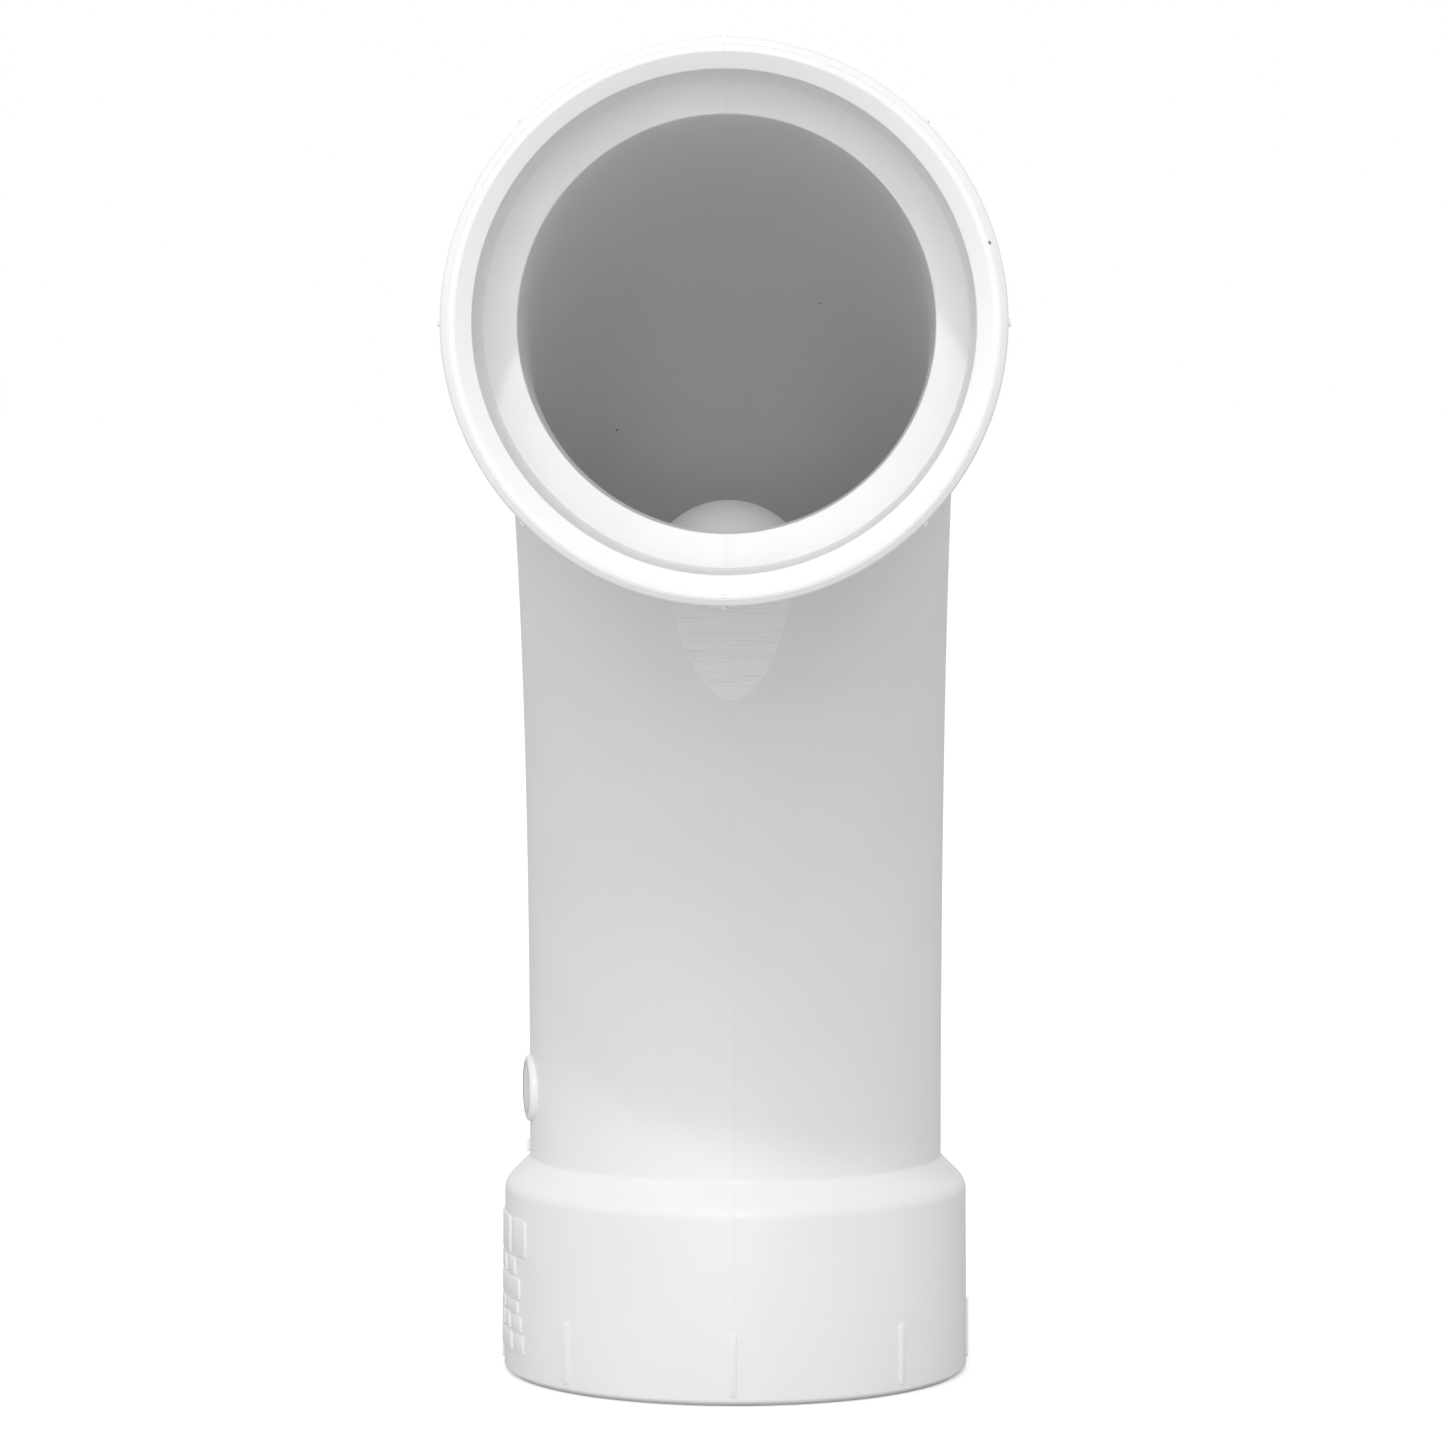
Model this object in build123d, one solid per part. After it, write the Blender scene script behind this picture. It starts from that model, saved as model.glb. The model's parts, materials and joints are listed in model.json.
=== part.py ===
from build123d import *

import os
from math import cos, degrees, radians, sin, tan

# Long-sweep 90 degree PVC conduit elbow with a solvent-cement socket at each end, in millimetres.
# The origin is the centre of the outlet socket's pipe stop. The outlet faces -Z and the inlet
# faces -Y, and the moulding's parting plane is X = 0. The real fitting is one injection moulding.
# Each region of it that a person would name is its own solid here, and they meet face to face.

# Conduit and passage
conduit_diameter = 88.9  # outside diameter of the trade size 3 conduit that goes in
socket_clearance = 0.15  # radial gap between the conduit and the socket wall
stop_step = 6.2  # height of the step that stops the conduit, socket wall to bore
bore_wall = 6.1
socket_wall = 5.55

# Runs along each leg
bend_radius = 168.0  # of the centre line
neck_run = 14.5  # straight bore between the pipe stop and the bend
socket_depth = 42.0  # rim to pipe stop

# Socket barrel and its 45 degree shoulder
barrel_draft = 0.25  # radius lost from the rim to the shoulder
shoulder_rise = 1.0  # how far the shoulder's lower corner lies below the pipe stop
shoulder_rounding = 4.0
neck_fillet = 1.0
rim_rounding = 1.4
mouth_chamfer = 2.9
stop_edge_rounding = 0.4

# Flat on the outside of the throat, cut across it by a large cylinder
flat_start = 0.0  # degrees along the bend, counted from the inlet
flat_end = 40.8
flat_depth = 1.56

# Rounded boss on the inside of the throat
boss_start = 0.5
boss_end = 30.0
boss_height = 8.5
boss_section_radius = 16.0

# Alignment ribs, eighths of a turn apart round each socket
rib_count = 8
rib_length = 13.0
rib_width = 1.4
rib_height = 0.45
rib_from_rim = 2.2
rib_root = 0.8  # how deep the rib's blank starts in the barrel before it is trimmed

# Round pad and small nub on the -X side of the outlet leg
pad_diameter = 14.4
pad_height = 1.1
pad_rounding = 0.7
pad_rise = 5.1  # pad centre above the start of the bend
pad_turn = 9.0  # degrees from -X towards -Y
nub_length = 2.6
nub_width = 2.2
nub_height = 0.65
nub_rise = 1.8  # nub centre above the shoulder's upper corner

# Raised marking bars on the -X side of the outlet socket, in rows from the shoulder to the rim
# Each row has its height, its bars' lengths from the rib towards -Y, and those towards +Y.
bar_height = 0.4
row_gap = 0.7
bar_gap = 2.2
bar_to_rib = 0.9
marking_rows = (
    (7.8, (12.5, 7.5), (9.0, 11.0)),
    (3.6, (8.5, 5.5), (14.0,)),
    (4.3, (19.0,), (7.0, 10.5)),
    (2.4, (7.0, 9.0), (16.0,)),
    (3.2, (6.0, 4.0, 5.5), (8.0, 7.5)),
    (3.9, (14.0, 5.0), (19.5,)),
)

# Sizes that follow from the ones above
socket_radius = conduit_diameter / 2 + socket_clearance
bore_radius = socket_radius - stop_step
body_radius = bore_radius + bore_wall
rim_radius = socket_radius + socket_wall
barrel_top_radius = rim_radius - barrel_draft
mouth_radius = socket_radius + mouth_chamfer
shoulder_top = barrel_top_radius - body_radius - shoulder_rise
reach = bend_radius + neck_run  # centre of the bend's square to each pipe stop
bend_axis = Axis((0, -bend_radius, neck_run), (1, 0, 0))
inlet_place = Location((0, -reach, reach), (-90, 0, 0))
blank = 4 * body_radius  # size of tools that only have to be large enough


def barrel_radius(height):
    """Outside radius of the socket barrel at a height above the rim."""
    return rim_radius - barrel_draft * height / (socket_depth - shoulder_rise)


def throat_cylinder(start, end, line_radius, rise):
    """Radius of the X cylinder that crosses the throat line at two angles, and how far out it lies."""
    half_angle = radians(end - start) / 2
    half_chord = line_radius * sin(half_angle)
    sagitta = line_radius * (1 - cos(half_angle)) + rise
    radius = (half_chord**2 + sagitta**2) / (2 * sagitta)
    return radius, line_radius + rise - radius


def on_bend(angle, distance):
    """Point in the parting plane at an angle from the inlet and a distance from the bend axis."""
    across = distance * sin(radians(angle))
    up = distance * cos(radians(angle))
    return Vector(0, -bend_radius + across, neck_run + up)


def leg():
    """Socket, shoulder and neck of one leg, turned in one piece round Z with the pipe stop at Z = 0."""
    corners = (
        (socket_radius, 0),
        (socket_radius, mouth_chamfer - socket_depth),
        (mouth_radius, -socket_depth),
        (rim_radius, -socket_depth),
        (barrel_top_radius, -shoulder_rise),
        (body_radius, shoulder_top),
        (body_radius, neck_run),
        (bore_radius, neck_run),
        (bore_radius, 0),
    )
    profile = Plane.XZ * make_face(Polyline(*corners, close=True))
    roundings = {3: rim_rounding, 4: shoulder_rounding, 5: neck_fillet, 8: stop_edge_rounding}
    for corner, size in roundings.items():
        radius, height = corners[corner]
        vertex = profile.vertices().sort_by_distance((radius, 0, height))[0]
        profile = fillet(vertex, size)
    return revolve(profile, Axis.Z)


def leg_regions():
    """The leg cut at the pipe stop and where the shoulder ends."""
    whole = leg()
    barrel = split(whole, bisect_by=Plane.XY, keep=Keep.BOTTOM)
    above = split(whole, bisect_by=Plane.XY, keep=Keep.TOP)
    neck_start = Plane.XY.offset(shoulder_top + neck_fillet * tan(radians(22.5)))
    shoulder = split(above, bisect_by=neck_start, keep=Keep.BOTTOM)
    neck = split(above, bisect_by=neck_start, keep=Keep.TOP)
    return barrel, shoulder, neck


def bend(section_radius, start, end):
    """Solid round bar bent on the centre line, between two angles counted from the outlet neck."""
    bar = Torus(bend_radius, section_radius, major_angle=end - start, align=None)
    upright = Plane(bend_axis.position, x_dir=(0, 1, 0), z_dir=(1, 0, 0))
    return upright * Rot(Z=start) * bar


def sweep_half(start, end):
    """Tube wall of one half of the bend."""
    return bend(body_radius, start, end) - bend(bore_radius, start, end)


def throat_flat_tool():
    """Cylinder that leaves the flat on the outside of the throat."""
    line_radius = bend_radius - body_radius
    radius, distance = throat_cylinder(flat_start, flat_end, line_radius, flat_depth)
    centre = on_bend((flat_start + flat_end) / 2, distance)
    return Plane(centre, z_dir=(1, 0, 0)) * Cylinder(radius, blank)


def throat_boss():
    """Arched boss inside the throat: part of a torus, trimmed to the passage."""
    line_radius = bend_radius - bore_radius
    radius, distance = throat_cylinder(boss_start, boss_end, line_radius, boss_height)
    centre = on_bend((boss_start + boss_end) / 2, distance)
    arch = Torus(radius - boss_section_radius, boss_section_radius)
    return (Plane(centre, z_dir=(1, 0, 0)) * arch) & bend(bore_radius, 0, 90)


def alignment_ribs(barrel):
    """Eight short ribs round a socket, with rounded ends, trimmed to the barrel."""
    middle = rib_from_rim + rib_length / 2 - socket_depth
    root = barrel_top_radius - rib_root
    side = Plane((root, 0, middle), x_dir=(0, 0, 1), z_dir=(1, 0, 0))
    rib = extrude(side * SlotOverall(rib_length, rib_width), rim_radius + rib_height - root)
    rib = rib - barrel
    step = 360 / rib_count
    return Compound([Rot(Z=step * number) * rib.solid() for number in range(rib_count)])


def side_pad(sweep, neck):
    """Round pad on the side of the outlet leg, with a softened edge, trimmed to the body."""
    along = Rot(Z=pad_turn) * Location((-bore_radius - bore_wall / 2, 0, neck_run + pad_rise), (0, -90, 0))
    height = body_radius + pad_height - bore_radius - bore_wall / 2
    pad = Cylinder(pad_diameter / 2, height, align=(Align.CENTER, Align.CENTER, Align.MIN))
    pad = fillet(pad.edges().group_by(Axis.Z)[-1], pad_rounding)
    return along * pad - sweep - neck


def side_nub(neck, shoulder):
    """Small nub just above the shoulder."""
    place = Location((-body_radius + bore_wall / 2, 0, shoulder_top + nub_rise), (0, -90, 0))
    height = nub_height + bore_wall / 2
    nub = extrude(RectangleRounded(nub_length, nub_width, nub_width / 3), height)
    return place * nub - neck - shoulder


def marking_bar(low, high, start, length):
    """One curved bar on the barrel, between two heights above the rim."""
    inner_low = barrel_radius(low)
    inner_high = barrel_radius(high)
    corners = (
        (inner_low, low - socket_depth),
        (inner_low + bar_height, low - socket_depth),
        (inner_high + bar_height, high - socket_depth),
        (inner_high, high - socket_depth),
    )
    profile = Plane.XZ * make_face(Polyline(*corners, close=True))
    turn = degrees(length / rim_radius)
    bar = revolve(profile, Axis.Z, revolution_arc=turn)
    return Rot(Z=180 + degrees(start / rim_radius)) * bar


def marking_bars():
    """Rows of plain bars each side of the rib at -X, centred on the height of the barrel's flank."""
    flank_low = rim_rounding
    flank_high = socket_depth - shoulder_rise - shoulder_rounding * tan(radians(22.5))
    block = sum(row[0] for row in marking_rows) + row_gap * (len(marking_rows) - 1)
    top = (flank_low + flank_high + block) / 2
    bars = []
    for height, forward, backward in marking_rows:
        start = rib_width / 2 + bar_to_rib
        for length in forward:
            bars.append(marking_bar(top - height, top, start, length).solid())
            start += length + bar_gap
        start = -rib_width / 2 - bar_to_rib
        for length in backward:
            bars.append(marking_bar(top - height, top, start - length, length).solid())
            start -= length + bar_gap
        top -= height + row_gap
    return Compound(bars)


barrel, shoulder, neck = leg_regions()
outlet_sweep = sweep_half(0, 45)
inlet_sweep = sweep_half(45, 90) - throat_flat_tool()
ribs = alignment_ribs(barrel)

nodes = {
    "outlet_socket_barrel": barrel,
    "outlet_stop_shoulder": shoulder,
    "outlet_neck": neck,
    "outlet_sweep": outlet_sweep,
    "inlet_sweep": inlet_sweep,
    "inlet_neck": inlet_place * neck,
    "inlet_stop_shoulder": inlet_place * shoulder,
    "inlet_socket_barrel": inlet_place * barrel,
    "outlet_alignment_ribs": ribs,
    "inlet_alignment_ribs": inlet_place * ribs,
    "throat_boss": throat_boss(),
    "side_pad": side_pad(outlet_sweep, neck),
    "side_nub": side_nub(neck, shoulder),
    "marking_bars": marking_bars(),
}

os.makedirs("parts", exist_ok=True)
for name, solid in nodes.items():
    export_step(solid, f"parts/{name}.step")
    print(name, len(solid.solids()), "solids", round(solid.volume), "mm3")
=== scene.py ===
# %% [markdown]
# # A long-sweep PVC conduit elbow
# The real fitting is one injection moulding: a bent tube with a belled socket at each end, where the
# conduit is pushed in against a stop and cemented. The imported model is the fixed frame. Its regions
# (barrel, shoulder, neck, bend and so on) are separate nodes, and each one gets a finely rounded piece
# here in the same place. Everything is in metres.

# %% Load the frame
import json
from math import cos, pi, radians, sin, tan

import bpy
from mathutils import Matrix, Vector


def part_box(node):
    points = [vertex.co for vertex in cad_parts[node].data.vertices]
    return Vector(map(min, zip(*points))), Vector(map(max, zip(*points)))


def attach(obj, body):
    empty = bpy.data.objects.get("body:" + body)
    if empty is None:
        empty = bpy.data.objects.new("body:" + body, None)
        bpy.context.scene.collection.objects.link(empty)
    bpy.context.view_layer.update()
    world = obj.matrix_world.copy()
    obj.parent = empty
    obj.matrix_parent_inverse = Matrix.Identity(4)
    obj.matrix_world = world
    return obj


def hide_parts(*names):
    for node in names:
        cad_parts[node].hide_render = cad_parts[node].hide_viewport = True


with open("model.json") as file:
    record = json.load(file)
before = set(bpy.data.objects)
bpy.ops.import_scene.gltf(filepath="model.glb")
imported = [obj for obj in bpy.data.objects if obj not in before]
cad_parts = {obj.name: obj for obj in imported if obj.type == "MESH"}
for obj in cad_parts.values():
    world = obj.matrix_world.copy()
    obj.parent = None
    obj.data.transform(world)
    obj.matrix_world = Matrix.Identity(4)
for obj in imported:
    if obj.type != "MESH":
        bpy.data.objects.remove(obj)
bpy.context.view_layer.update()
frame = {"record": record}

MM = 0.001

# %% [markdown]
# ## Sizes
# Every size is read from the frame where the frame has it: the socket's radius from its mount, and the
# runs and outside radii from the nodes' boxes. What a box can't tell, such as the wall, is a named value.

# %% Sizes of the legs
mounts = {mount["name"]: mount for mount in frame["record"]["mounts"]}
socket_r = mounts["outlet_socket"]["dims"]["r_mm"] * MM
barrel_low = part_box("outlet_socket_barrel")[0]
neck_low, neck_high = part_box("outlet_neck")
rim_z = barrel_low.z
neck_top = neck_high.z
rim_r = 50.15 * MM
barrel_draft = 0.25 * MM
barrel_top_r = rim_r - barrel_draft
body_r = neck_high.x
wall = 6.1 * MM
bore_r = body_r - wall
mouth_chamfer = 2.9 * MM
shoulder_corner_z = -1.0 * MM
shoulder_rounding = 4.0 * MM
shoulder_top_z = shoulder_corner_z + barrel_top_r - body_r
reach = mounts["inlet_socket"]["pos_m"][2]
bend_r = reach - neck_top
bend_centre = Vector((0, -bend_r, neck_top))
print("body, bore and bend radius:", [round(r / MM, 2) for r in (body_r, bore_r, bend_r)])

# %% How finely curves are cut
ROUND_STEPS = 192
BEND_STEPS = 60
OVERLAP = 0.05 * MM
NEAR = 0.01 * MM
HAIR = 0.001 * MM

# %% [markdown]
# ## Helpers for modelling
# The nodes that came with the frame are selected when they load, and an operator acts on all that is
# selected. So each piece starts with nothing selected, and its points are picked by their place. Two
# places count as the same within NEAR, and a point counts as on a line or plane within HAIR.

# %% Selecting
def start_fresh():
    if bpy.context.object and bpy.context.object.mode != "OBJECT":
        bpy.ops.object.mode_set(mode="OBJECT")
    bpy.ops.object.select_all(action="DESELECT")


def pick(piece, chosen, kind="VERT"):
    """Select only the parts of one kind whose middle passes the test."""
    bpy.ops.mesh.select_mode(type=kind)
    bpy.ops.mesh.select_all(action="DESELECT")
    bpy.ops.object.mode_set(mode="OBJECT")
    mesh = piece.data
    if kind == "VERT":
        for vertex in mesh.vertices:
            vertex.select = chosen(vertex.co)
    elif kind == "EDGE":
        for edge in mesh.edges:
            ends = [mesh.vertices[index].co for index in edge.vertices]
            edge.select = chosen(*ends)
    else:
        for face in mesh.polygons:
            face.select = chosen(face.center, face.normal)
    bpy.ops.object.mode_set(mode="EDIT")


# %% Finishing a piece
def settle(piece, name, sharp_above=30):
    """Put the place into the mesh, name the piece and shade it smooth except at its creases."""
    if bpy.context.object.mode != "OBJECT":
        bpy.ops.object.mode_set(mode="OBJECT")
    bpy.ops.object.select_all(action="DESELECT")
    piece.select_set(True)
    bpy.context.view_layer.objects.active = piece
    bpy.ops.object.transform_apply(location=True, rotation=True, scale=True)
    bpy.ops.object.shade_smooth_by_angle(angle=radians(sharp_above))
    piece.name = name
    piece.data.name = name
    return piece


def apply_modifiers(piece):
    bpy.context.view_layer.objects.active = piece
    for modifier in list(piece.modifiers):
        bpy.ops.object.modifier_apply(modifier=modifier.name)


def close_shell():
    bpy.ops.mesh.select_all(action="SELECT")
    bpy.ops.mesh.remove_doubles(threshold=2 * HAIR)
    bpy.ops.mesh.normals_make_consistent(inside=False)


def join_free_ends(piece):
    """One edge or face across the points that a cut has left with a single edge each."""
    bpy.ops.mesh.select_mode(type="VERT")
    bpy.ops.mesh.select_all(action="DESELECT")
    bpy.ops.object.mode_set(mode="OBJECT")
    uses = [0] * len(piece.data.vertices)
    for edge in piece.data.edges:
        for index in edge.vertices:
            uses[index] += 1
    for vertex in piece.data.vertices:
        vertex.select = uses[vertex.index] == 1
    bpy.ops.object.mode_set(mode="EDIT")
    bpy.ops.mesh.edge_face_add()


def copy_piece(piece, name):
    twin = piece.copy()
    twin.data = piece.data.copy()
    bpy.context.scene.collection.objects.link(twin)
    twin.name = name
    twin.data.name = name
    return twin


# %% [markdown]
# ## The outline of a leg
# A socket, its shoulder and its neck are turned shapes, so one outline is drawn point by point from a
# single vertex, its corners are rounded with a vertex bevel, and pieces of it are spun round Z.
# A corner that turns by an angle t and is rounded to a radius r loses r tan(t / 2) from each side,
# which is the bevel's offset. A fine groove parts the rim's flat land from the soft edge round it, as
# the joint between two rings of the mould leaves it.

# %% Draw and round the outline
EDGE_BAND = 1.45 * MM
LAND_R = rim_r - EDGE_BAND
GROOVE = 0.15 * MM
SOFT_EDGE = 0.95 * MM
OUTLINE = (
    (socket_r, 0),
    (socket_r, rim_z + mouth_chamfer),
    (socket_r + mouth_chamfer, rim_z),
    (LAND_R - GROOVE, rim_z),
    (LAND_R, rim_z + 1.4 * GROOVE),
    (LAND_R + 0.7 * GROOVE, rim_z + 0.5 * GROOVE),
    (rim_r, rim_z + SOFT_EDGE),
    (barrel_top_r, shoulder_corner_z),
    (body_r, shoulder_top_z),
    (body_r, neck_top),
    (bore_r, neck_top),
    (bore_r, 0),
)
ROUNDED = {
    1: (0.5 * MM, 45),
    2: (0.35 * MM, 45),
    6: (1.0 * MM, 58),
    7: (shoulder_rounding, 45),
    8: (1.0 * MM, 45),
    11: (0.4 * MM, 90),
}


def at_place(point):
    return lambda co: (co - point).length < NEAR


def leg_outline():
    start_fresh()
    first = Vector((OUTLINE[0][0], 0, OUTLINE[0][1]))
    bpy.ops.mesh.primitive_plane_add(size=MM, location=first)
    piece = bpy.context.object
    bpy.ops.object.transform_apply(location=True, rotation=True, scale=True)
    bpy.ops.object.mode_set(mode="EDIT")
    bpy.ops.mesh.select_mode(type="VERT")
    bpy.ops.mesh.select_all(action="SELECT")
    bpy.ops.mesh.merge(type="CENTER")
    before = first
    for radius, height in OUTLINE[1:]:
        point = Vector((radius, 0, height))
        step = {"value": point - before}
        bpy.ops.mesh.extrude_vertices_move(TRANSFORM_OT_translate=step)
        before = point
    join_free_ends(piece)
    for corner, (radius, turn) in ROUNDED.items():
        place = Vector((OUTLINE[corner][0], 0, OUTLINE[corner][1]))
        pick(piece, at_place(place))
        offset = radius * tan(radians(turn) / 2)
        bpy.ops.mesh.bevel(offset=offset, segments=8, affect="VERTICES")
    bpy.ops.object.mode_set(mode="OBJECT")
    return piece


outline = leg_outline()
print("the leg's outline has", len(outline.data.vertices), "points and", len(outline.data.edges), "edges")

# %% Spin a stretch of the outline
def spun_region(name, low, high):
    """The part of the leg between two heights, spun round Z into a closed ring."""
    start_fresh()
    piece = copy_piece(outline, name)
    bpy.context.view_layer.objects.active = piece
    piece.select_set(True)
    bpy.ops.object.mode_set(mode="EDIT")
    for height, keep_above in ((low, True), (high, False)):
        if height is None:
            continue
        bpy.ops.mesh.select_all(action="SELECT")
        cut = {"plane_co": (0, 0, height), "plane_no": (0, 0, 1), "threshold": HAIR}
        bpy.ops.mesh.bisect(**cut, clear_inner=keep_above, clear_outer=not keep_above)
        join_free_ends(piece)
    bpy.ops.mesh.select_all(action="SELECT")
    bpy.ops.mesh.spin(steps=ROUND_STEPS, angle=2 * pi, center=(0, 0, 0), axis=(0, 0, 1))
    close_shell()
    return settle(piece, name, 25)


neck_start = neck_low.z
outlet_barrel = spun_region("outlet_barrel", None, -2 * HAIR)
outlet_shoulder = spun_region("outlet_shoulder", 0, neck_start)
outlet_neck = spun_region("outlet_neck_run", neck_start, None)
bpy.data.objects.remove(outline)
for piece in (outlet_barrel, outlet_shoulder, outlet_neck):
    print(piece.name, len(piece.data.polygons), "faces")

# %% [markdown]
# ## The other leg
# The inlet leg is the same shape, turned a quarter turn about X, so that its mouth faces -Y.

# %% Copy the leg to the inlet
INLET = Matrix.Translation((0, -reach, reach)) @ Matrix.Rotation(radians(-90), 4, "X")


def to_inlet(piece, name):
    twin = copy_piece(piece, name)
    twin.data.transform(INLET)
    return twin


inlet_barrel = to_inlet(outlet_barrel, "inlet_barrel")
inlet_shoulder = to_inlet(outlet_shoulder, "inlet_shoulder")
inlet_neck = to_inlet(outlet_neck, "inlet_neck_run")

# %% [markdown]
# ## The bend
# Two circles, the outside and the bore, stand at the top of the outlet neck and are spun about the
# bend's own axis. Each end is then bridged from one circle to the other, which closes the wall.

# %% Spin the two halves of the bend
def spin_circles(name, radii, angle, steps):
    """Circles at the top of the outlet neck, spun on round the bend by an angle in degrees."""
    start_fresh()
    bpy.ops.mesh.primitive_circle_add(vertices=ROUND_STEPS, radius=radii[0], location=(0, 0, neck_top))
    piece = bpy.context.object
    bpy.ops.object.transform_apply(location=True, rotation=True, scale=True)
    bpy.ops.object.mode_set(mode="EDIT")
    for radius in radii[1:]:
        bpy.ops.mesh.primitive_circle_add(vertices=ROUND_STEPS, radius=radius, location=(0, 0, neck_top))
    bpy.ops.mesh.select_all(action="SELECT")
    bpy.ops.mesh.spin(steps=steps, angle=radians(angle), center=bend_centre, axis=(1, 0, 0))
    bpy.ops.object.mode_set(mode="OBJECT")
    piece.name = name
    return piece


probe = spin_circles("probe", [body_r], 45, 4)
highest = max(vertex.co.z for vertex in probe.data.vertices)
SPIN_SIGN = 1 if highest > neck_top + body_r else -1
bpy.data.objects.remove(probe)
print("spin turns the right way with sign", SPIN_SIGN)


def at_angle(angle):
    """Tells whether a point lies on the section at an angle along the bend, counted from the outlet."""
    along = Vector((0, -sin(radians(angle)), cos(radians(angle))))
    return lambda co: abs((co - bend_centre).dot(along)) < NEAR


def turn_about_bend(angle):
    back = Matrix.Translation(bend_centre)
    return back @ Matrix.Rotation(radians(angle), 4, "X") @ back.inverted()


def from_centre_line(point):
    """How far a point lies from the bend's centre line."""
    away = point - bend_centre
    return Vector((point.x, Vector((0, away.y, away.z)).length - bend_r)).length


def bend_half(name, start):
    piece = spin_circles(name, [body_r, bore_r], SPIN_SIGN * 45, BEND_STEPS)
    piece.data.transform(turn_about_bend(start))
    bpy.ops.object.mode_set(mode="EDIT")
    bpy.ops.mesh.normals_make_consistent(inside=False)
    pick(piece, lambda centre, normal: from_centre_line(centre) < body_r - wall / 2, "FACE")
    bpy.ops.mesh.flip_normals()
    for angle in (start, start + 45):
        pick(piece, at_angle(angle))
        bpy.ops.mesh.bridge_edge_loops()
    close_shell()
    return settle(piece, name, 25)


outlet_bend = bend_half("outlet_bend", 0)
inlet_bend = bend_half("inlet_bend", 45)
print("each half of the bend has", len(outlet_bend.data.polygons), "faces")

# %% [markdown]
# ## The throat flat
# On the outside of the throat, from the inlet end to a little before the middle of the bend, the
# moulding is flat across. A large cylinder lying along X cuts it. The cylinder crosses the throat
# line at both ends of the flat and goes deepest half way, which fixes its radius and its centre.

# %% Cut the flat
FLAT_START, FLAT_END = 0.0, 40.8
FLAT_DEPTH = 1.56 * MM


def crossing_arc(start, end, line_r, rise):
    """Radius of the arc through two angles of a line round the bend, and its centre."""
    half = radians(end - start) / 2
    half_chord = line_r * sin(half)
    sagitta = line_r * (1 - cos(half)) + rise
    radius = (half_chord**2 + sagitta**2) / (2 * sagitta)
    middle = radians((start + end) / 2)
    towards = Vector((0, sin(middle), cos(middle)))
    return radius, bend_centre + towards * (line_r + rise - radius)


def trim(piece, tool, operation):
    """Cut a piece with a tool, and throw the tool away."""
    start_fresh()
    cut = piece.modifiers.new("cut", "BOOLEAN")
    cut.operation = operation
    cut.solver = "EXACT"
    cut.object = tool
    apply_modifiers(piece)
    bpy.data.objects.remove(tool)


flat_r, flat_centre = crossing_arc(FLAT_START, FLAT_END, bend_r - body_r, FLAT_DEPTH)
start_fresh()
bpy.ops.mesh.primitive_cylinder_add(
    vertices=1024, radius=flat_r, depth=60 * MM, location=flat_centre, rotation=(0, pi / 2, 0)
)
trim(inlet_bend, bpy.context.object, "DIFFERENCE")
settle(inlet_bend, "inlet_bend", 3)
print("the flat's cylinder has a radius of", round(flat_r / MM, 1), "mm")

# %% [markdown]
# ## The boss inside the throat
# It is arched along the bend and round across it, so it is a slice of a ring lying in the parting
# plane. The ring is trimmed to the bore, made a hair larger so that the boss beds into the wall.

# %% Trim a ring to the bore
BOSS_START, BOSS_END = 0.5, 30.0
BOSS_HEIGHT = 8.5 * MM
BOSS_SECTION_R = 16.0 * MM

bore_core = spin_circles("bore_core", [bore_r + OVERLAP], SPIN_SIGN * 45, BEND_STEPS)
bore_core.data.transform(turn_about_bend(45))
bpy.ops.object.mode_set(mode="EDIT")
for angle in (45, 90):
    pick(bore_core, at_angle(angle))
    bpy.ops.mesh.edge_face_add()
close_shell()
bpy.ops.object.mode_set(mode="OBJECT")

boss_r, boss_centre = crossing_arc(BOSS_START, BOSS_END, bend_r - bore_r, BOSS_HEIGHT)
start_fresh()
bpy.ops.mesh.primitive_torus_add(
    major_segments=288,
    minor_segments=120,
    major_radius=boss_r - BOSS_SECTION_R,
    minor_radius=BOSS_SECTION_R,
    location=boss_centre,
    rotation=(0, pi / 2, 0),
)
throat_boss = bpy.context.object
trim(throat_boss, bore_core, "INTERSECT")
settle(throat_boss, "boss", 25)
print("the boss has", len(throat_boss.data.polygons), "faces")

# %% [markdown]
# ## Alignment ribs
# Eight short ribs stand round each socket, an eighth of a turn apart, so that an electrician can line
# the elbow up. One is made from a block with rounded ends and a softened top, and the rest are copies.

# %% Make a rib and copy it round
RIB_LENGTH, RIB_WIDTH, RIB_HEIGHT = 13.0 * MM, 1.4 * MM, 0.45 * MM
RIB_FROM_RIM = 2.2 * MM
RIB_COUNT = 8
SUNK = 0.8 * MM


def rounded_block(name, place, size, end_round, top_round):
    """A block standing out along X, rounded at its ends and softened along its top."""
    start_fresh()
    bpy.ops.mesh.primitive_cube_add(size=1, location=place, scale=size)
    piece = bpy.context.object
    bpy.ops.object.transform_apply(location=True, rotation=True, scale=True)
    top = place[0] + size[0] / 2
    bpy.ops.object.mode_set(mode="EDIT")
    pick(piece, lambda a, b: abs(a.x - b.x) > size[0] / 2, "EDGE")
    bpy.ops.mesh.bevel(offset=end_round, segments=6)
    pick(piece, lambda a, b: min(a.x, b.x) > top - HAIR, "EDGE")
    bpy.ops.mesh.bevel(offset=top_round, segments=3)
    return settle(piece, name, 40)


def joined(pieces, name):
    start_fresh()
    for piece in pieces:
        piece.select_set(True)
    bpy.context.view_layer.objects.active = pieces[0]
    bpy.ops.object.join()
    return settle(pieces[0], name, 40)


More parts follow.
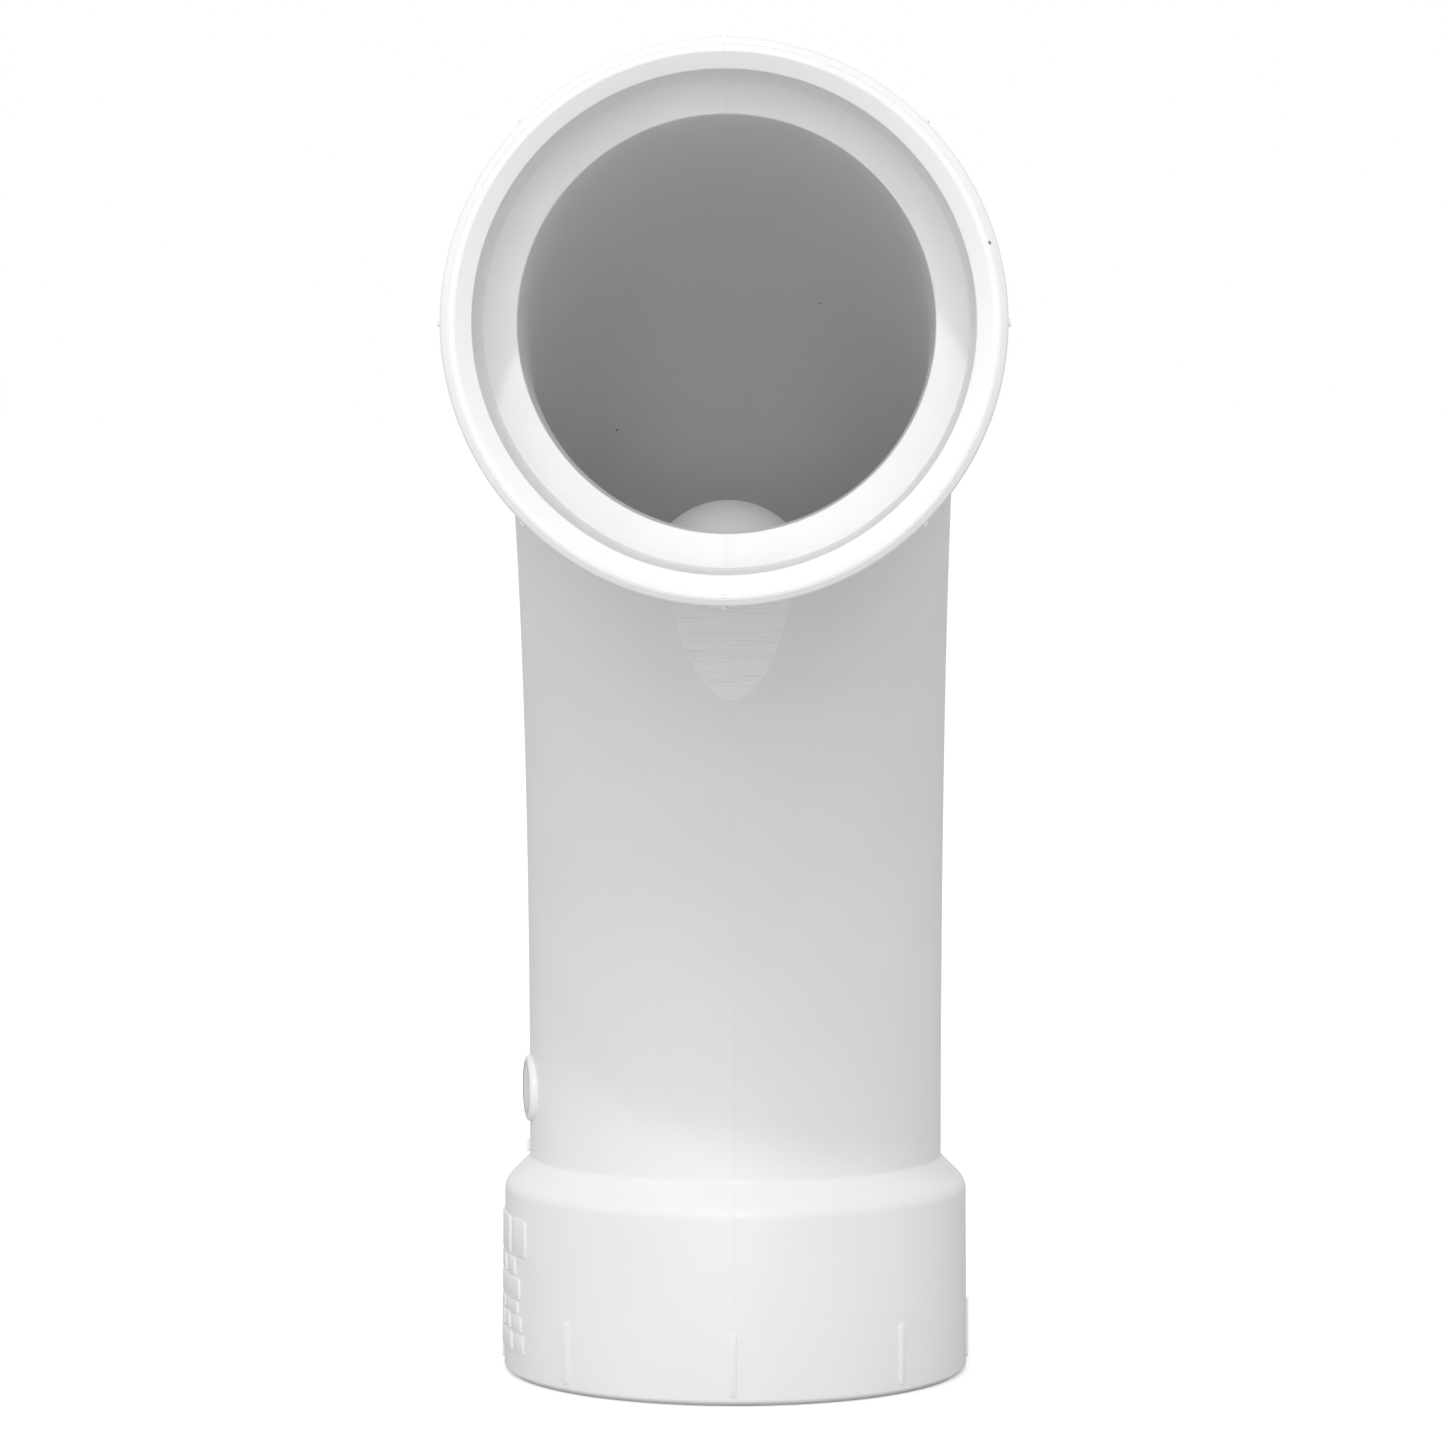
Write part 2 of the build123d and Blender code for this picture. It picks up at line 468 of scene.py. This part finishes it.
rib_middle = Vector((rim_r + (RIB_HEIGHT - SUNK) / 2, 0, rim_z + RIB_FROM_RIM + RIB_LENGTH / 2))
rib_size = (RIB_HEIGHT + SUNK, RIB_WIDTH, RIB_LENGTH)
rib = rounded_block("rib", rib_middle, rib_size, 0.48 * RIB_WIDTH, 0.15 * MM)
ribs = []
for number in range(RIB_COUNT):
    twin = copy_piece(rib, "rib_copy")
    twin.data.transform(Matrix.Rotation(number * 2 * pi / RIB_COUNT, 4, "Z"))
    ribs.append(twin)
bpy.data.objects.remove(rib)
outlet_ribs = joined(ribs, "outlet_ribs")
inlet_ribs = to_inlet(outlet_ribs, "inlet_ribs")
print(RIB_COUNT, "ribs have", len(outlet_ribs.data.polygons), "faces")

# %% [markdown]
# ## Side pad and nub
# A round pad and a small nub stand on the left of the outlet leg. The pad is a disc whose rim is
# rounded over. Both are sunk a little into the body, as moulded details grow out of the wall.

# %% Make the pad and the nub
PAD_R, PAD_HEIGHT, PAD_RISE, PAD_TURN = 7.2 * MM, 1.1 * MM, 5.1 * MM, 9.0
PAD_ROUND, PAD_INSET = 0.9 * MM, 1.2 * MM
NUB_LENGTH, NUB_WIDTH, NUB_HEIGHT, NUB_RISE = 2.6 * MM, 2.2 * MM, 0.65 * MM, 1.8 * MM

start_fresh()
pad_depth = PAD_HEIGHT + 2 * SUNK
bpy.ops.mesh.primitive_cylinder_add(
    vertices=96,
    radius=PAD_R,
    depth=pad_depth,
    location=(body_r + PAD_HEIGHT - pad_depth / 2, 0, neck_top + PAD_RISE),
    rotation=(0, pi / 2, 0),
)
pad = bpy.context.object
bpy.ops.object.transform_apply(location=True, rotation=True, scale=True)
bpy.ops.object.mode_set(mode="EDIT")
pick(pad, lambda a, b: min(a.x, b.x) > body_r + PAD_HEIGHT - HAIR, "EDGE")
bpy.ops.mesh.bevel(offset=PAD_ROUND, segments=6)
pick(pad, lambda centre, normal: normal.x > 0.99, "FACE")
bpy.ops.mesh.inset(thickness=PAD_INSET)
bpy.ops.object.mode_set(mode="OBJECT")
pad.data.transform(Matrix.Rotation(radians(180 + PAD_TURN), 4, "Z"))
settle(pad, "pad", 30)

nub_middle = (body_r + (NUB_HEIGHT - SUNK) / 2, 0, shoulder_top_z + NUB_RISE)
nub_size = (NUB_HEIGHT + SUNK, NUB_WIDTH, NUB_LENGTH)
nub = rounded_block("nub", nub_middle, nub_size, 0.7 * MM, 0.3 * MM)
nub.data.transform(Matrix.Rotation(pi, 4, "Z"))
print("pad", len(pad.data.polygons), "faces; nub", len(nub.data.polygons), "faces")

# %% [markdown]
# ## Marking bars
# Where the real fitting has moulded lettering, this one has plain raised bars in rows. A small upright
# rectangle is spun round Z through each bar's length, closed at its ends and softened by a bevel.

# %% Lay the bars in rows each side of the rib
BAR_HEIGHT, BAR_SUNK = 0.4 * MM, 0.5 * MM
ROW_GAP, BAR_GAP, BAR_TO_RIB = 0.7 * MM, 2.2 * MM, 0.9 * MM
ROWS = (
    (7.8, (12.5, 7.5), (9.0, 11.0)),
    (3.6, (8.5, 5.5), (14.0,)),
    (4.3, (19.0,), (7.0, 10.5)),
    (2.4, (7.0, 9.0), (16.0,)),
    (3.2, (6.0, 4.0, 5.5), (8.0, 7.5)),
    (3.9, (14.0, 5.0), (19.5,)),
)


def curved_bar(low, high, start, length):
    """A bar between two heights, from an arc length counted from -X, towards -Y."""
    start_fresh()
    slope = (rim_r - barrel_top_r) / (shoulder_corner_z - rim_z)
    outer = rim_r - slope * ((low + high) / 2 - rim_z)
    place = (outer + (BAR_HEIGHT - BAR_SUNK) / 2, 0, (low + high) / 2)
    bpy.ops.mesh.primitive_plane_add(size=1, location=place, rotation=(pi / 2, 0, 0))
    piece = bpy.context.object
    piece.scale = (BAR_HEIGHT + BAR_SUNK, high - low, 1)
    bpy.ops.object.transform_apply(location=True, rotation=True, scale=True)
    bpy.ops.object.mode_set(mode="EDIT")
    bpy.ops.mesh.select_all(action="SELECT")
    bpy.ops.mesh.delete(type="ONLY_FACE")
    bpy.ops.mesh.select_all(action="SELECT")
    steps = max(3, round(length / (1.5 * MM)))
    bpy.ops.mesh.spin(steps=steps, angle=SPIN_SIGN * length / rim_r, center=(0, 0, 0), axis=(0, 0, 1))
    bpy.ops.mesh.select_all(action="SELECT")
    bpy.ops.mesh.fill_holes(sides=4)
    close_shell()
    bpy.ops.object.mode_set(mode="OBJECT")
    soft = piece.modifiers.new("soft", "BEVEL")
    soft.width = 0.16 * MM
    soft.segments = 2
    soft.angle_limit = radians(40)
    apply_modifiers(piece)
    piece.data.transform(Matrix.Rotation(pi + start / rim_r, 4, "Z"))
    return piece


flank_low = rim_z + 1.4 * MM
flank_high = shoulder_corner_z - shoulder_rounding * tan(radians(22.5))
block = sum(row[0] for row in ROWS) * MM + ROW_GAP * (len(ROWS) - 1)
top = (flank_low + flank_high + block) / 2
bars = []
for height, forward, backward in ROWS:
    low = top - height * MM
    start = RIB_WIDTH / 2 + BAR_TO_RIB
    for length in forward:
        bars.append(curved_bar(low, top, start, length * MM))
        start += length * MM + BAR_GAP
    start = -RIB_WIDTH / 2 - BAR_TO_RIB
    for length in backward:
        bars.append(curved_bar(low, top, start - length * MM, length * MM))
        start -= length * MM + BAR_GAP
    top = low - ROW_GAP
bar_count = len(bars)
marking = joined(bars, "marking")
print(bar_count, "bars with", len(marking.data.polygons), "faces")

# %% [markdown]
# ## What the surface is
# The fitting is rigid PVC, filled white and injection moulded. Four finishes show on it: the outside,
# which carries the mould's fine spark-eroded skin and the parting line; the inside, which a polished
# steel core leaves smoother; the boss, which is dull; and the throat flat, which is scratched. The inside
# and the flat get a lighter white, which is painted light, and the boss a greyer white, which is painted
# shade.
# Every pattern reads Object coordinates, in metres, so that its grain has a size in millimetres.

# %% Colour and node helpers
def linear(code):
    """A colour written as sRGB hex, turned to linear light."""
    steps = [int(code[at:at + 2], 16) / 255 for at in (1, 3, 5)]
    return [s / 12.92 if s <= 0.04045 else ((s + 0.055) / 1.055) ** 2.4 for s in steps] + [1]


def add_node(tree, kind, fed=None, **settings):
    """Add a node with its settings. What it is fed is a value, or the socket that it comes from."""
    node = tree.nodes.new("ShaderNode" + kind)
    for name, value in settings.items():
        setattr(node, name, value)
    for name, value in (fed or {}).items():
        if isinstance(value, bpy.types.NodeSocket):
            tree.links.new(value, node.inputs[name])
        else:
            node.inputs[name].default_value = value
    return node


def per(size):
    """A texture's scale from the size of its grain in millimetres."""
    return 1 / (size * MM)


print("white PVC in linear light:", [round(v, 3) for v in linear("#F2F2F1")])

# %% [markdown]
# ## White PVC
# All four finishes share one recipe. Titanium white leaves the body bright and neutral, with slight
# clouds where the melt has mixed. Rigid PVC has an IOR of about 1.53 and a satin skin, so it shows
# broad, soft highlights. Small dark specks are burnt resin. The relief is added up in millimetres and
# goes through one Bump node.

# %% The shared recipe
def white_pvc(name, light, shade, grain, relief, satin):
    material = bpy.data.materials.new(name)
    material.use_nodes = True
    tree = material.node_tree
    tree.nodes.clear()
    place = add_node(tree, "TexCoord").outputs["Object"]

    clouds = add_node(tree, "TexNoise", {"Vector": place, "Scale": per(38), "Detail": 3}).outputs["Fac"]
    clouded = add_node(
        tree, "MapRange", {"Value": clouds, "From Min": 0.35, "From Max": 0.65}
    ).outputs["Result"]
    body = add_node(tree, "Mix", {"Factor": clouded}, data_type="RGBA")
    body.inputs["A"].default_value = linear(light)
    body.inputs["B"].default_value = linear(shade)

    cells = add_node(tree, "TexVoronoi", {"Vector": place, "Scale": per(19)}).outputs["Distance"]
    speck = add_node(
        tree,
        "MapRange",
        {"Value": cells, "From Min": 0.012, "From Max": 0.022, "To Min": 1.0, "To Max": 0.0},
    ).outputs["Result"]
    dotted = add_node(tree, "Mix", {"Factor": speck}, data_type="RGBA")
    tree.links.new(body.outputs["Result"], dotted.inputs["A"])
    dotted.inputs["B"].default_value = linear("#8E8C88")

    skin = add_node(tree, "TexNoise", {"Vector": place, "Scale": per(grain), "Detail": 2}).outputs["Fac"]
    height = add_node(tree, "Math", {0: skin, 1: relief}, operation="MULTIPLY").outputs["Value"]
    patches = add_node(tree, "TexNoise", {"Vector": place, "Scale": per(9), "Detail": 4}).outputs["Fac"]
    rough = add_node(
        tree,
        "MapRange",
        {"Value": patches, "From Min": 0.3, "From Max": 0.7, "To Min": satin[0], "To Max": satin[1]},
    ).outputs["Result"]

    bump = add_node(tree, "Bump", {"Height": height, "Distance": MM, "Strength": 1.0})
    shader = add_node(
        tree,
        "BsdfPrincipled",
        {
            "Base Color": dotted.outputs["Result"],
            "Roughness": rough,
            "Normal": bump.outputs["Normal"],
            "IOR": 1.53,
        },
    )
    add_node(tree, "OutputMaterial", {"Surface": shader.outputs["BSDF"]})
    return material, tree, place, height, bump


# %% [markdown]
# ## The outside: spark-eroded mould skin and parting line
# The two halves of the mould meet in the plane X = 0 and leave a fine raised line there. It is about
# 0.4 mm wide and a twentieth of a millimetre high. The skin's grain is near 0.5 mm on the real part
# and is drawn at 1.5 mm, so that it shows.

# %% Make the outside finish
def add_relief(tree, bump, height, extra):
    total = add_node(tree, "Math", {0: height, 1: extra}, operation="ADD").outputs["Value"]
    tree.links.new(total, bump.inputs["Height"])


moulded_pvc, tree, place, height, bump = white_pvc(
    "injection_moulded_pvc", "#F2F2F1", "#EFEFEE", grain=1.5, relief=0.012, satin=(0.36, 0.46)
)
across = add_node(tree, "SeparateXYZ", {"Vector": place}).outputs["X"]
distance = add_node(tree, "Math", {0: across}, operation="ABSOLUTE").outputs["Value"]
seam = add_node(
    tree,
    "MapRange",
    {"Value": distance, "From Min": 0.05 * MM, "From Max": 0.35 * MM, "To Min": 0.05, "To Max": 0.0},
    interpolation_type="SMOOTHSTEP",
).outputs["Result"]
add_relief(tree, bump, height, seam)
print(moulded_pvc.name, len(tree.nodes), "nodes")

# %% [markdown]
# ## The inside: core-polished, with painted light
# The core is polished steel and slides out along the bore, so the inside is smoother and glossier. Its
# white is lighter than the outside's; that is painted light, which lifts the shade deep in the bore.

# %% Make the inside finish
# The lighter white of the inside is painted light: it lifts the shade in the bore.
core_pvc_painted_light, tree, place, height, bump = white_pvc(
    "core_polished_pvc_painted_light", "#FCFCFB", "#FAFAF9", grain=2.4, relief=0.008, satin=(0.3, 0.38)
)
print(core_pvc_painted_light.name, len(tree.nodes), "nodes")

# %% [markdown]
# ## The boss: dull, with painted shade
# The boss is taken to be a moulded stub left as it came from the tool, and it is duller than the polished
# bore. Its greyer white is painted shade, which darkens it so that it stands out against the bore softly.

# %% Make the boss finish
# The greyer white of the boss is painted shade.
boss_pvc_painted_shade, tree, place, height, bump = white_pvc(
    "dull_pvc_painted_shade", "#DFDFDE", "#DBDBDA", grain=1.2, relief=0.010, satin=(0.55, 0.65)
)
print(boss_pvc_painted_shade.name, len(tree.nodes), "nodes")

# %% [markdown]
# ## The throat flat: rubbed and scratched, with painted light
# This face is taken to be rubbed when fittings are stacked and dragged over each other. The scratches are
# noise stretched 20 times along one direction, in two layers turned a little to each other, and they only
# dent the surface. The flat's white is lighter than the body's, which is painted light for the light the
# flat catches.

# %% Make the scratched finish
# The lighter white of the flat is painted light.
flat_pvc_painted_light, tree, place, height, bump = white_pvc(
    "scratched_pvc_painted_light", "#F9F9F8", "#F6F6F5", grain=1.5, relief=0.010, satin=(0.42, 0.55)
)
for turn, depth in ((4, 0.07), (-17, 0.05)):
    turned = add_node(
        tree,
        "Mapping",
        {"Vector": place, "Rotation": (0, radians(turn), 0), "Scale": (1 / 20, 1, 1)},
    ).outputs["Vector"]
    lines = add_node(tree, "TexNoise", {"Vector": turned, "Scale": per(0.7), "Detail": 1}).outputs["Fac"]
    cut = add_node(
        tree,
        "MapRange",
        {"Value": lines, "From Min": 0.58, "From Max": 0.68, "To Min": 0.0, "To Max": -depth},
    ).outputs["Result"]
    add_relief(tree, bump, height, cut)
    height = bump.inputs["Height"].links[0].from_socket
print(flat_pvc_painted_light.name, len(tree.nodes), "nodes")

# %% [markdown]
# ## Which face gets which finish
# A face whose normal points at the centre line is on the inside. The pipe stop's ring faces along the
# leg and keeps the mould's skin. The throat flat's faces all lie on the cylinder that cut them.

# %% Assign the finishes
def leg_axis(point):
    return Vector((0, 0, point.z))


def inlet_axis(point):
    return Vector((0, point.y, reach))


def bend_axis(point):
    away = Vector((0, point.y, point.z)) - bend_centre
    return bend_centre + away.normalized() * bend_r


def on_flat(point):
    away = Vector((0, point.y, point.z)) - flat_centre
    return abs(away.length - flat_r) < NEAR


def finish_faces(piece, axis=None, flat=False):
    mesh = piece.data
    mesh.materials.clear()
    for material in (moulded_pvc, core_pvc_painted_light, flat_pvc_painted_light)[: 3 if flat else 2 if axis else 1]:
        mesh.materials.append(material)
    for face in mesh.polygons:
        face.material_index = 0
        outward = (face.center - axis(face.center)).normalized() if axis else face.normal
        if face.normal.dot(outward) < -0.3:
            face.material_index = 1
        elif flat and on_flat(face.center):
            face.material_index = 2


for piece in (outlet_barrel, outlet_shoulder, outlet_neck):
    finish_faces(piece, leg_axis)
for piece in (inlet_barrel, inlet_shoulder, inlet_neck):
    finish_faces(piece, inlet_axis)
finish_faces(outlet_bend, bend_axis)
finish_faces(inlet_bend, bend_axis, flat=True)
for piece in (outlet_ribs, inlet_ribs, pad, nub, marking):
    finish_faces(piece)
throat_boss.data.materials.clear()
throat_boss.data.materials.append(boss_pvc_painted_shade)
for face in throat_boss.data.polygons:
    face.material_index = 0
flat_faces = sum(face.material_index == 2 for face in inlet_bend.data.polygons)
print("the throat flat has", flat_faces, "faces")

# %% [markdown]
# ## Each piece on the frame
# Every piece rides on the one body and stands for its node.

# %% Ride and replace
STANDS_FOR = {
    outlet_barrel: "outlet_socket_barrel",
    inlet_barrel: "inlet_socket_barrel",
    outlet_shoulder: "outlet_stop_shoulder",
    inlet_shoulder: "inlet_stop_shoulder",
    outlet_neck: "outlet_neck",
    inlet_neck: "inlet_neck",
    outlet_bend: "outlet_sweep",
    inlet_bend: "inlet_sweep",
    outlet_ribs: "outlet_alignment_ribs",
    inlet_ribs: "inlet_alignment_ribs",
    throat_boss: "throat_boss",
    pad: "side_pad",
    nub: "side_nub",
    marking: "marking_bars",
}
for piece, node in STANDS_FOR.items():
    low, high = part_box(node)
    points = [vertex.co for vertex in piece.data.vertices]
    gap = max(
        max(abs(min(p[axis] for p in points) - low[axis]), abs(max(p[axis] for p in points) - high[axis]))
        for axis in range(3)
    )
    print(piece.name, "is within", round(gap / MM, 2), "mm of the box of", node)
    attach(piece, "root")
    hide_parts(node)

# %% [markdown]
# ## The floor
# The fitting stands on a wide, pale, matt sheet on a light table, so the sheet looks white. The glow is
# for the camera only, and the sheet gives back half of what falls on it. Otherwise it would fill the
# shade under the throat from below.

# %% Lay the floor
start_fresh()
bpy.ops.mesh.primitive_plane_add(size=40, location=(0, 0, rim_z))
floor = bpy.context.object
floor.name = "floor"
paper = bpy.data.materials.new("matt_white_paper")
paper.use_nodes = True
tree = paper.node_tree
sheet = tree.nodes["Principled BSDF"]
place = add_node(tree, "TexCoord").outputs["Object"]
fibres = add_node(tree, "TexNoise", {"Vector": place, "Scale": per(60), "Detail": 3}).outputs["Fac"]
seen = add_node(tree, "LightPath").outputs["Is Camera Ray"]
bounce = add_node(tree, "Mix", {"Factor": fibres}, data_type="RGBA")
bounce.inputs["A"].default_value = linear("#BEBEBE")
bounce.inputs["B"].default_value = linear("#BABABA")
tone = add_node(tree, "Mix", {"Factor": seen}, data_type="RGBA")
tree.links.new(bounce.outputs["Result"], tone.inputs["A"])
tone.inputs["B"].default_value = linear("#FAFAFA")
tree.links.new(tone.outputs["Result"], sheet.inputs["Base Color"])
glow = add_node(tree, "Math", {0: seen, 1: 0.28}, operation="MULTIPLY").outputs["Value"]
tree.links.new(glow, sheet.inputs["Emission Strength"])
sheet.inputs["Emission Color"].default_value = linear("#FFFFFF")
sheet.inputs["Roughness"].default_value = 0.9
sheet.inputs["Specular IOR Level"].default_value = 0.0
floor.data.materials.append(paper)
print("the floor lies at", round(rim_z / MM, 1), "mm")

# %% [markdown]
# ## Light
# Plain soft studio light. The room is white all round. Two soft lights in front reach into the bore,
# a weak one stands on the left, and a small one 32 degrees up throws the inlet's soft shadow down the
# front of the leg, which ends just above the shoulder.

# %% Set the lights
room = bpy.data.worlds.new("white_room")
bpy.context.scene.world = room
room.use_nodes = True
tree = room.node_tree
seen = add_node(tree, "LightPath").outputs["Is Camera Ray"]
room_light = tree.nodes["Background"]
room_light.inputs["Color"].default_value = linear("#FFFFFF")
power = add_node(tree, "MapRange", {"Value": seen, "To Min": 0.8, "To Max": 1.0}).outputs["Result"]
tree.links.new(power, room_light.inputs["Strength"])
LIT = Vector((0, -0.05, 0.09))


def soft_light(name, turn, rise, away, size, power):
    """A square light that faces the fitting, so many degrees to the left of the front and up."""
    lamp = bpy.data.lights.new(name, "AREA")
    lamp.shape = "SQUARE"
    lamp.size = size
    lamp.energy = power
    holder = bpy.data.objects.new(name, lamp)
    bpy.context.scene.collection.objects.link(holder)
    side, up = radians(turn), radians(rise)
    holder.location = Vector((-sin(side) * cos(up), -cos(side) * cos(up), sin(up))) * away
    holder.location.z += LIT.z
    holder.rotation_euler = (LIT - holder.location).to_track_quat("-Z", "Y").to_euler()


soft_light("front", turn=0, rise=4, away=2.6, size=0.8, power=11)
soft_light("front_wide", turn=8, rise=10, away=2.2, size=1.8, power=5)
soft_light("left", turn=65, rise=15, away=2.2, size=1.4, power=3)
soft_light("key", turn=3, rise=32, away=2.6, size=0.08, power=9)

# %% [markdown]
# ## Camera
# It stands in front of the inlet, just below the inlet's axis and hardly off the fitting's plane.
# The Standard view keeps the greys as they are lit.

# %% Place the camera
lens = bpy.data.cameras.new("camera")
lens.lens = 143.0
lens.sensor_width = 36.0
lens.clip_end = 50
camera = bpy.data.objects.new("camera", lens)
bpy.context.scene.collection.objects.link(camera)
camera.location = (11.3 * MM, -1237 * MM, 174.5 * MM)
aim = Vector((-2.8 * MM, 0, 98.1 * MM))
camera.rotation_euler = (aim - camera.location).to_track_quat("-Z", "Y").to_euler()
bpy.context.scene.camera = camera
bpy.context.scene.view_settings.view_transform = "Standard"
print("camera at", [round(v, 3) for v in camera.location])
